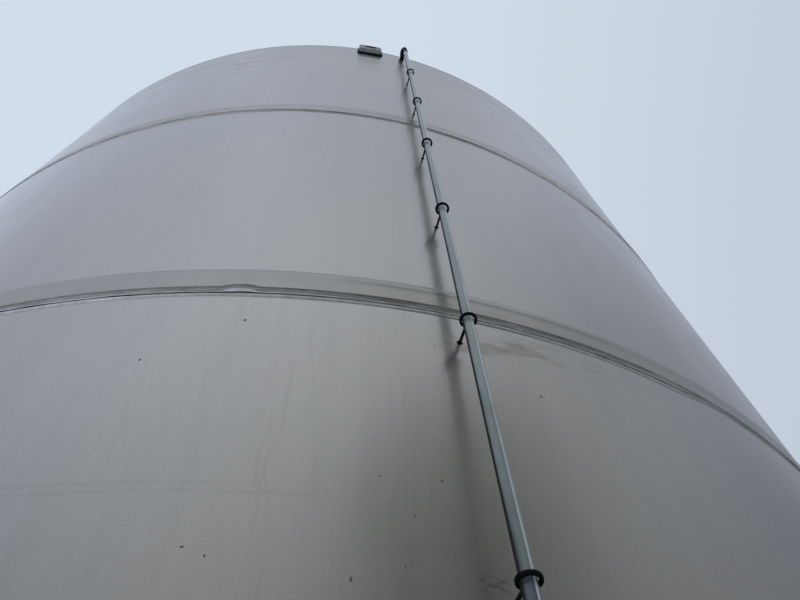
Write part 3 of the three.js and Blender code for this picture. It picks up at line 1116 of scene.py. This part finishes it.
DRUM_MIDDLE = Vector((4.31, -17.04, 0.0))
DRUM_RADIUS = 5.2
DRUM_SEGMENTS = 96
DRUM_FADE = (11.3, 12.9)
DRUM_TINT = rgb(0.92, 1.0, 0.957)
DRUM_LOW, DRUM_HIGH = 7.8, 13.0
DRUM_DARK, DRUM_PALE = 0.080, 0.258
DRUM_SIDE = 0.13
DRUM_RIGHT = 0.08
UNSEEN_BY = ("camera", "diffuse", "transmission", "shadow", "volume_scatter")


def dark_drum():
    """A tall drum behind the camera that glows dimly, with a soft upper edge, seen only in the tank's
    gloss.
    """
    g = finish_graph("stage_drum")
    across, towards, height = g.axes()
    # Painted light and shade: the glow rises with height, away from the side facing the tank, and towards
    # the drum's local +X
    climb = g.add("ShaderNodeMapRange", {0: height, 1: DRUM_LOW, 2: DRUM_HIGH, 3: DRUM_DARK, 4: DRUM_PALE})
    aside = g.less(1.0, g.times(towards, 1 / DRUM_RADIUS))
    level = g.total(climb.outputs[0], g.times(aside, DRUM_SIDE), g.step(across, 0.5, 3.5, 0.0, DRUM_RIGHT))
    dim = g.add("ShaderNodeEmission", {"Color": DRUM_TINT, "Strength": level}).outputs[0]
    clear = g.add("ShaderNodeBsdfTransparent").outputs[0]
    g.blend("Material Output", g.step(height, *DRUM_FADE, 1.0, 0.0), clear, dim)
    vertices = [(DRUM_RADIUS * math.sin(turn), DRUM_RADIUS * math.cos(turn), z)
                for z in (0, DRUM_FADE[1]) for turn in turns(DRUM_SEGMENTS)]
    drum = new_object("stage_drum", vertices, ring_faces(2, DRUM_SEGMENTS), [g.owner])
    drum.location = DRUM_MIDDLE
    drum.rotation_euler = (0, 0, math.atan2(DRUM_MIDDLE.x, -DRUM_MIDDLE.y))
    for kind in UNSEEN_BY:
        setattr(drum, f"visible_{kind}", False)


dark_drum()


# Light: a pale overcast sky, brighter overhead

SKY_SEEN = rgb(0.640, 0.722, 0.825)
SKY_COOL = rgb(0.640, 0.725, 0.885)
SKY_WARM = rgb(0.657, 0.725, 0.790)

# Dimmer and brighter parts: a direction, where the change starts and ends along it, and the level there
SKY_PARTS = (
    ((0.71, -0.70, 0), 0.05, 0.62, 0.73), ((1, 0, 0), 0.20, 0.70, 0.805),
    ((-0.50, -0.05, 0.86), 0.93, 0.985, 0.84), ((0.04, -0.16, 0.985), 0.935, 0.995, 0.78),
    ((0, 1, 0), 0.03, 0.28, 1.21), ((0.156, -0.581, 0.799), 0.85, 1.0, 1.14),
    ((0.80, -0.40, 0.45), 0.93, 0.985, 1.22), ((-0.55, -0.33, 0.77), 0.96, 1.0, 1.06),
)


def sky():
    """An uneven sky that lights the tank and shows in its gloss, and a plainer one for the camera."""
    world = bpy.data.worlds.new("studio_sky")
    bpy.context.scene.world = world
    g = Graph(world)
    direction = g.add("ShaderNodeTexCoord").outputs["Generated"]

    def part(axis, low, high, at_low, at_high):
        return g.step(g.along(direction, axis), low, high, at_low, at_high)

    level = part((0, 0, 1), 0.28, 0.89, 0.48, 1.0)
    for axis, low, high, there in SKY_PARTS:
        level = g.times(level, part(axis, low, high, 1.0, there))
    lit = g.tree.nodes["Background"]
    g.feed(lit.inputs[0], g.mix(part((0.2, -0.98, 0), 0.0, 0.8, 0.0, 1.0), SKY_COOL, SKY_WARM))
    g.feed(lit.inputs[1], level)
    seen_right = part((0.97, -0.26, 0), 0.0, 0.75, 1.0, 0.82)
    seen_rise = part((0, 0, 1), -0.1, 0.7, 0.85, 1.0)
    seen = g.add("ShaderNodeBackground", {0: SKY_SEEN, 1: g.times(seen_right, seen_rise)})
    at_camera = g.add("ShaderNodeLightPath").outputs["Is Camera Ray"]
    g.blend("World Output", at_camera, lit.outputs[0], seen.outputs[0])


sky()


# Camera, at the photograph's place: low in front of the pipe and looking steeply up

CAMERA_PLACE = Vector((-0.8186, -6.8239, 1.6))
CAMERA_AZIMUTH = math.radians(18.2437)
CAMERA_PITCH = math.radians(58.3037)
CAMERA_ROLL = math.radians(-4.3171)
LENS = 28.467
SENSOR = 36
CAMERA_REACH = 500


def camera():
    data = bpy.data.cameras.new("camera")
    data.sensor_fit = "HORIZONTAL"
    data.sensor_width = SENSOR
    data.lens = LENS
    data.clip_end = CAMERA_REACH
    obj = linked("camera", data)
    a, p, r = CAMERA_AZIMUTH, CAMERA_PITCH, CAMERA_ROLL
    level_right = Vector((math.cos(a), -math.sin(a), 0))
    level_up = Vector((-math.sin(a) * math.sin(p), -math.cos(a) * math.sin(p), math.cos(p)))
    forward = Vector((math.sin(a) * math.cos(p), math.cos(a) * math.cos(p), math.sin(p)))
    right = level_right * math.cos(r) + level_up * math.sin(r)
    up = level_up * math.cos(r) - level_right * math.sin(r)
    rotation = Matrix((right, up, -forward)).transposed()
    obj.matrix_world = Matrix.Translation(CAMERA_PLACE) @ rotation.to_4x4()
    bpy.context.scene.camera = obj


camera()
view = bpy.context.scene.view_settings
view.view_transform = "Standard"
view.look = "None"
